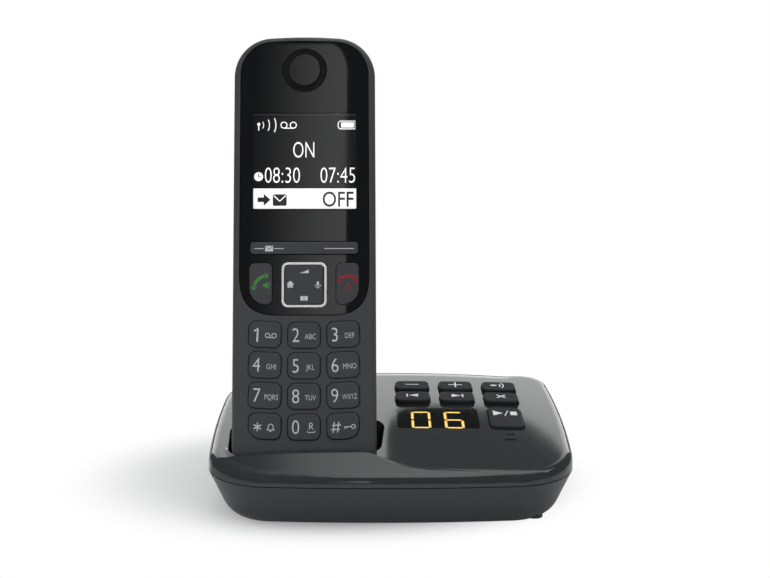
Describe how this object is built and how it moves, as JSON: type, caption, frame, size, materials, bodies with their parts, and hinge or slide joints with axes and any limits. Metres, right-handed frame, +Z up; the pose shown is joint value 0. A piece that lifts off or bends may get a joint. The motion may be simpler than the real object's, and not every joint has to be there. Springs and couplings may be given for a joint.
{
  "type": "answering machine",
  "caption": "Answering machine: low sloping base with raised keys and a message counter window, and a cordless handset with display and keypad standing in its cradle.",
  "frame": {"origin": "under the middle of the base, on the plane of its feet", "axes": "+Z up, -Y towards the user, +X to the user's right; the handset stands at -X"},
  "size_m": [0.127, 0.092, 0.1628],
  "materials": {
    "case_satin": "fine satin",
    "deck_gloss": "gloss",
    "pan_satin": "satin",
    "panel_gloss": "gloss",
    "key_matte": "matte",
    "handset_key": "satin",
    "rubber_black": "matte",
    "mat_rubber": "matte",
    "nav_chrome": "bright",
    "cap_metal": "satin",
    "window_smoke": "gloss",
    "lens_clear": "clear",
    "lcd_glass": "gloss",
    "led_case": "matte",
    "board_green": "solder mask",
    "contact_gold": "bright",
    "spring_steel": "plain",
    "screw_steel": "blackened",
    "cell_wrap": "wrapped",
    "speaker_black": "matte",
    "jack_plastic": "matte"
  },
  "bodies": {
    "base": {"base_upper_shell": "deck_gloss", "base_lower_shell": "pan_satin", "base_feet": "rubber_black", "base_screws": "screw_steel", "base_circuit_board": "board_green", "base_key_mat": "mat_rubber", "base_display_window": "window_smoke", "led_display": "led_case", "base_charging_contacts": "contact_gold", "base_speaker": "speaker_black", "base_antennas": "spring_steel", "power_jack": "jack_plastic", "line_jack": "jack_plastic"},
    "handset": {"handset_front_shell": "case_satin", "handset_rear_shell": "case_satin", "handset_front_panel": "panel_gloss", "display_lens": "lens_clear", "display_module": "lcd_glass", "earpiece_cap": "cap_metal", "earpiece_receiver": "speaker_black", "nav_bezel": "nav_chrome", "handset_circuit_board": "board_green", "handset_key_mat": "mat_rubber", "battery_cells": "cell_wrap", "battery_contacts": "spring_steel", "handset_charging_contacts": "contact_gold", "handset_microphone": "speaker_black", "handset_screws": "screw_steel", "ringer_speaker": "speaker_black", "handset_antenna": "spring_steel"},
    "battery_cover": {"battery_cover": "case_satin"},
    "display_key_bar": {"display_key_bar": "handset_key"},
    "nav_pivot": {"nav_pivot": "mat_rubber"},
    "nav_key": {"nav_key": "handset_key"},
    "key_volume_down": {"key_volume_down": "key_matte"},
    "key_volume_up": {"key_volume_up": "key_matte"},
    "key_paging": {"key_paging": "key_matte"},
    "key_previous": {"key_previous": "key_matte"},
    "key_next": {"key_next": "key_matte"},
    "key_delete": {"key_delete": "key_matte"},
    "key_play_stop": {"key_play_stop": "key_matte"},
    "key_1": {"key_1": "handset_key"},
    "key_2": {"key_2": "handset_key"},
    "key_3": {"key_3": "handset_key"},
    "key_4": {"key_4": "handset_key"},
    "key_5": {"key_5": "handset_key"},
    "key_6": {"key_6": "handset_key"},
    "key_7": {"key_7": "handset_key"},
    "key_8": {"key_8": "handset_key"},
    "key_9": {"key_9": "handset_key"},
    "key_star": {"key_star": "handset_key"},
    "key_0": {"key_0": "handset_key"},
    "key_hash": {"key_hash": "handset_key"},
    "key_talk": {"key_talk": "handset_key"},
    "key_end": {"key_end": "handset_key"}
  },
  "joints": [
    {"name": "handset_lift", "type": "slide", "parent": "base", "child": "handset", "axis": [0, 0.2113, 0.9774], "range_m": [0, 0.06]},
    {"name": "key_volume_down_press", "type": "slide", "parent": "base", "child": "key_volume_down", "axis": [0, 0.1805, -0.9836], "range_m": [0, 0.0009], "stiffness_N_per_m": 300},
    {"name": "key_volume_up_press", "type": "slide", "parent": "base", "child": "key_volume_up", "axis": [0, 0.1805, -0.9836], "range_m": [0, 0.0009], "stiffness_N_per_m": 300},
    {"name": "key_paging_press", "type": "slide", "parent": "base", "child": "key_paging", "axis": [0, 0.1805, -0.9836], "range_m": [0, 0.0009], "stiffness_N_per_m": 300},
    {"name": "key_previous_press", "type": "slide", "parent": "base", "child": "key_previous", "axis": [0, 0.1805, -0.9836], "range_m": [0, 0.0009], "stiffness_N_per_m": 300},
    {"name": "key_next_press", "type": "slide", "parent": "base", "child": "key_next", "axis": [0, 0.1805, -0.9836], "range_m": [0, 0.0009], "stiffness_N_per_m": 300},
    {"name": "key_delete_press", "type": "slide", "parent": "base", "child": "key_delete", "axis": [0, 0.1805, -0.9836], "range_m": [0, 0.0009], "stiffness_N_per_m": 300},
    {"name": "key_play_stop_press", "type": "slide", "parent": "base", "child": "key_play_stop", "axis": [0, 0.1805, -0.9836], "range_m": [0, 0.0009], "stiffness_N_per_m": 300},
    {"name": "key_1_press", "type": "slide", "parent": "handset", "child": "key_1", "axis": [0, 0.9774, -0.2113], "range_m": [0, 0.0008], "stiffness_N_per_m": 300},
    {"name": "key_2_press", "type": "slide", "parent": "handset", "child": "key_2", "axis": [0, 0.9774, -0.2113], "range_m": [0, 0.0008], "stiffness_N_per_m": 300},
    {"name": "key_3_press", "type": "slide", "parent": "handset", "child": "key_3", "axis": [0, 0.9774, -0.2113], "range_m": [0, 0.0008], "stiffness_N_per_m": 300},
    {"name": "key_4_press", "type": "slide", "parent": "handset", "child": "key_4", "axis": [0, 0.9774, -0.2113], "range_m": [0, 0.0008], "stiffness_N_per_m": 300},
    {"name": "key_5_press", "type": "slide", "parent": "handset", "child": "key_5", "axis": [0, 0.9774, -0.2113], "range_m": [0, 0.0008], "stiffness_N_per_m": 300},
    {"name": "key_6_press", "type": "slide", "parent": "handset", "child": "key_6", "axis": [0, 0.9774, -0.2113], "range_m": [0, 0.0008], "stiffness_N_per_m": 300},
    {"name": "key_7_press", "type": "slide", "parent": "handset", "child": "key_7", "axis": [0, 0.9774, -0.2113], "range_m": [0, 0.0008], "stiffness_N_per_m": 300},
    {"name": "key_8_press", "type": "slide", "parent": "handset", "child": "key_8", "axis": [0, 0.9774, -0.2113], "range_m": [0, 0.0008], "stiffness_N_per_m": 300},
    {"name": "key_9_press", "type": "slide", "parent": "handset", "child": "key_9", "axis": [0, 0.9774, -0.2113], "range_m": [0, 0.0008], "stiffness_N_per_m": 300},
    {"name": "key_star_press", "type": "slide", "parent": "handset", "child": "key_star", "axis": [0, 0.9774, -0.2113], "range_m": [0, 0.0008], "stiffness_N_per_m": 300},
    {"name": "key_0_press", "type": "slide", "parent": "handset", "child": "key_0", "axis": [0, 0.9774, -0.2113], "range_m": [0, 0.0008], "stiffness_N_per_m": 300},
    {"name": "key_hash_press", "type": "slide", "parent": "handset", "child": "key_hash", "axis": [0, 0.9774, -0.2113], "range_m": [0, 0.0008], "stiffness_N_per_m": 300},
    {"name": "key_talk_press", "type": "slide", "parent": "handset", "child": "key_talk", "axis": [0, 0.9774, -0.2113], "range_m": [0, 0.0008], "stiffness_N_per_m": 300},
    {"name": "key_end_press", "type": "slide", "parent": "handset", "child": "key_end", "axis": [0, 0.9774, -0.2113], "range_m": [0, 0.0008], "stiffness_N_per_m": 300},
    {"name": "display_key_rock", "type": "hinge", "parent": "handset", "child": "display_key_bar", "pos_m": [-0.0295, -0.01257, 0.09127], "axis": [0, 0.2113, 0.9774], "range_deg": [-2.4, 2.4], "stiffness_Nm_per_rad": 0.01},
    {"name": "nav_up_down", "type": "hinge", "parent": "handset", "child": "nav_pivot", "pos_m": [-0.0295, -0.01523, 0.07896], "axis": [1, 0, 0], "range_deg": [-3, 3], "stiffness_Nm_per_rad": 0.02},
    {"name": "nav_left_right", "type": "hinge", "parent": "nav_pivot", "child": "nav_key", "pos_m": [-0.0295, -0.01523, 0.07896], "axis": [0, 0.2113, 0.9774], "range_deg": [-3, 3], "stiffness_Nm_per_rad": 0.02},
    {"name": "battery_cover_open", "type": "hinge", "parent": "handset", "child": "battery_cover", "pos_m": [-0.0295, 0.0178, 0.11274], "axis": [1, 0, 0], "range_deg": [0, 25]}
  ]
}
